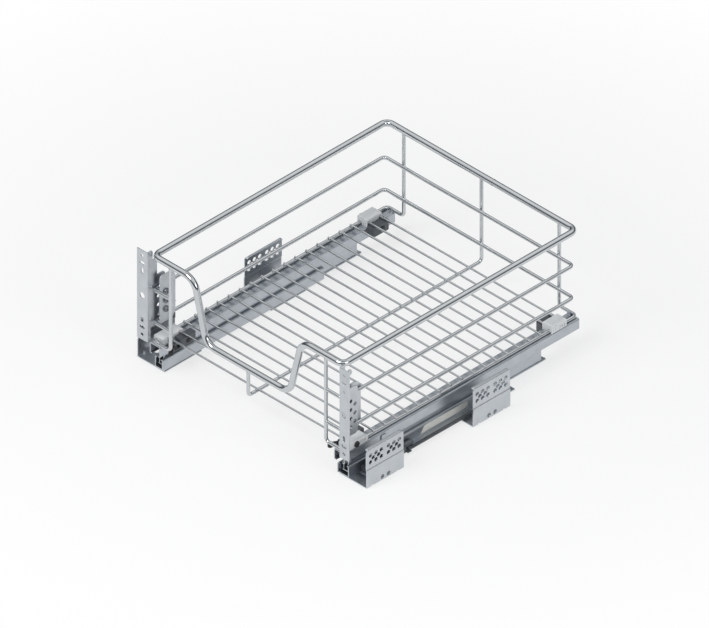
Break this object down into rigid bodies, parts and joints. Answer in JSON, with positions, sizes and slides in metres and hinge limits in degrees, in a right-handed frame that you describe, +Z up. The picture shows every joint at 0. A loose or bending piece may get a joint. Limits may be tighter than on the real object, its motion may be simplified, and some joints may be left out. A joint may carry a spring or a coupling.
{
  "type": "pull-out basket",
  "caption": "Wire basket with a dipped front on soft-closing full-extension slides, with angle brackets to the cabinet sides and slotted strips for a door.",
  "frame": {"origin": "middle of the footprint of the closed basket, at the underside of the cabinet brackets", "axes": "+X to the right seen from the front, +Y to the back of the cabinet, +Z up"},
  "size_m": [0.414, 0.4346, 0.1864],
  "materials": {
    "basket_wire": "bright chromium plate over polished steel wire",
    "rail_steel": "zinc-plated cold-rolled sheet",
    "bracket_steel": "zinc-plated pressed sheet",
    "fastener_steel": "plated steel screws and rivets",
    "roller_steel": "ground steel",
    "spring_steel": "drawn spring wire",
    "cage_plastic": "natural acetal",
    "clip_plastic": "light grey moulding",
    "dark_plastic": "dark grey moulding",
    "wheel_plastic": "black glass-filled nylon",
    "catch_plastic": "grey acetal",
    "damper_plastic": "smooth dark grey cylinder"
  },
  "bodies": {
    "root": {"closer_springs": "spring_steel", "cabinet_rail_left": "rail_steel", "front_cabinet_bracket_left": "bracket_steel", "rear_cabinet_bracket_left": "bracket_steel", "bracket_rivets_left": "fastener_steel", "closer_housing_left": "dark_plastic", "damper_left": "damper_plastic", "cabinet_rail_right": "rail_steel", "front_cabinet_bracket_right": "bracket_steel", "rear_cabinet_bracket_right": "bracket_steel", "bracket_rivets_right": "fastener_steel", "closer_housing_right": "dark_plastic", "damper_right": "damper_plastic"},
    "basket": {"rim": "basket_wire", "centre_wire": "basket_wire", "upper_side_wire": "basket_wire", "lower_side_wire": "basket_wire", "floor_wires": "basket_wire", "side_hoop_left": "basket_wire", "basket_rail_left": "rail_steel", "activator_left": "rail_steel", "rear_hook_left": "rail_steel", "door_bracket_left": "bracket_steel", "clamp_plate_left": "bracket_steel", "clamp_screws_left": "fastener_steel", "front_clip_left": "clip_plastic", "rear_clip_left": "clip_plastic", "front_adjuster_housing_left": "dark_plastic", "rear_adjuster_housing_left": "dark_plastic", "side_hoop_right": "basket_wire", "basket_rail_right": "rail_steel", "activator_right": "rail_steel", "rear_hook_right": "rail_steel", "door_bracket_right": "bracket_steel", "clamp_plate_right": "bracket_steel", "clamp_screws_right": "fastener_steel", "front_clip_right": "clip_plastic", "rear_clip_right": "clip_plastic", "front_adjuster_housing_right": "dark_plastic", "rear_adjuster_housing_right": "dark_plastic"},
    "middle_left": {"middle_rail_left": "rail_steel"},
    "lower_cage_left": {"lower_cage_left": "cage_plastic", "lower_rollers_left": "roller_steel"},
    "upper_cage_left": {"upper_cage_left": "cage_plastic", "upper_rollers_left": "roller_steel"},
    "catch_left": {"catch_left": "catch_plastic"},
    "release_lever_left": {"release_lever_left": "wheel_plastic"},
    "side_wheel_left": {"side_wheel_left": "wheel_plastic"},
    "front_wheel_left": {"front_adjuster_wheel_left": "wheel_plastic"},
    "rear_wheel_left": {"rear_adjuster_wheel_left": "wheel_plastic"},
    "middle_right": {"middle_rail_right": "rail_steel"},
    "lower_cage_right": {"lower_cage_right": "cage_plastic", "lower_rollers_right": "roller_steel"},
    "upper_cage_right": {"upper_cage_right": "cage_plastic", "upper_rollers_right": "roller_steel"},
    "catch_right": {"catch_right": "catch_plastic"},
    "release_lever_right": {"release_lever_right": "wheel_plastic"},
    "side_wheel_right": {"side_wheel_right": "wheel_plastic"},
    "front_wheel_right": {"front_adjuster_wheel_right": "wheel_plastic"},
    "rear_wheel_right": {"rear_adjuster_wheel_right": "wheel_plastic"}
  },
  "joints": [
    {"name": "basket_slide", "type": "slide", "parent": "root", "child": "basket", "axis": [0, -1, 0], "range_m": [0, 0.4]},
    {"name": "lower_cage_slide_left", "type": "slide", "parent": "root", "child": "lower_cage_left", "axis": [0, -1, 0], "range_m": [0, 0.1]},
    {"name": "middle_slide_left", "type": "slide", "parent": "root", "child": "middle_left", "axis": [0, -1, 0], "range_m": [0, 0.2]},
    {"name": "upper_cage_slide_left", "type": "slide", "parent": "root", "child": "upper_cage_left", "axis": [0, -1, 0], "range_m": [0, 0.3]},
    {"name": "catch_slide_left", "type": "slide", "parent": "root", "child": "catch_left", "axis": [0, -1, 0], "range_m": [0, 0.032]},
    {"name": "release_lever_turn_left", "type": "hinge", "parent": "basket", "child": "release_lever_left", "pos_m": [-0.151, -0.18982, 0.039], "axis": [0, 0, -1], "range_deg": [0, 12]},
    {"name": "front_wheel_turn_left", "type": "hinge", "parent": "basket", "child": "front_wheel_left", "pos_m": [-0.1496, -0.16983, 0.0415], "axis": [0, 0, 1], "continuous": true},
    {"name": "rear_wheel_turn_left", "type": "hinge", "parent": "basket", "child": "rear_wheel_left", "pos_m": [-0.1496, 0.17818, 0.0415], "axis": [0, 0, 1], "continuous": true},
    {"name": "side_wheel_turn_left", "type": "hinge", "parent": "basket", "child": "side_wheel_left", "pos_m": [-0.175, -0.18782, 0.048], "axis": [-1, 0, 0], "continuous": true},
    {"name": "lower_cage_slide_right", "type": "slide", "parent": "root", "child": "lower_cage_right", "axis": [0, -1, 0], "range_m": [0, 0.1]},
    {"name": "middle_slide_right", "type": "slide", "parent": "root", "child": "middle_right", "axis": [0, -1, 0], "range_m": [0, 0.2]},
    {"name": "upper_cage_slide_right", "type": "slide", "parent": "root", "child": "upper_cage_right", "axis": [0, -1, 0], "range_m": [0, 0.3]},
    {"name": "catch_slide_right", "type": "slide", "parent": "root", "child": "catch_right", "axis": [0, -1, 0], "range_m": [0, 0.032]},
    {"name": "release_lever_turn_right", "type": "hinge", "parent": "basket", "child": "release_lever_right", "pos_m": [0.151, -0.18982, 0.039], "axis": [0, 0, 1], "range_deg": [0, 12]},
    {"name": "front_wheel_turn_right", "type": "hinge", "parent": "basket", "child": "front_wheel_right", "pos_m": [0.1496, -0.16983, 0.0415], "axis": [0, 0, 1], "continuous": true},
    {"name": "rear_wheel_turn_right", "type": "hinge", "parent": "basket", "child": "rear_wheel_right", "pos_m": [0.1496, 0.17818, 0.0415], "axis": [0, 0, 1], "continuous": true},
    {"name": "side_wheel_turn_right", "type": "hinge", "parent": "basket", "child": "side_wheel_right", "pos_m": [0.175, -0.18782, 0.048], "axis": [1, 0, 0], "continuous": true}
  ],
  "couplings": [
    {"joint": "lower_cage_slide_left", "follows": "basket_slide", "ratio": 0.25},
    {"joint": "middle_slide_left", "follows": "basket_slide", "ratio": 0.5},
    {"joint": "upper_cage_slide_left", "follows": "basket_slide", "ratio": 0.75},
    {"joint": "lower_cage_slide_right", "follows": "basket_slide", "ratio": 0.25},
    {"joint": "middle_slide_right", "follows": "basket_slide", "ratio": 0.5},
    {"joint": "upper_cage_slide_right", "follows": "basket_slide", "ratio": 0.75}
  ]
}
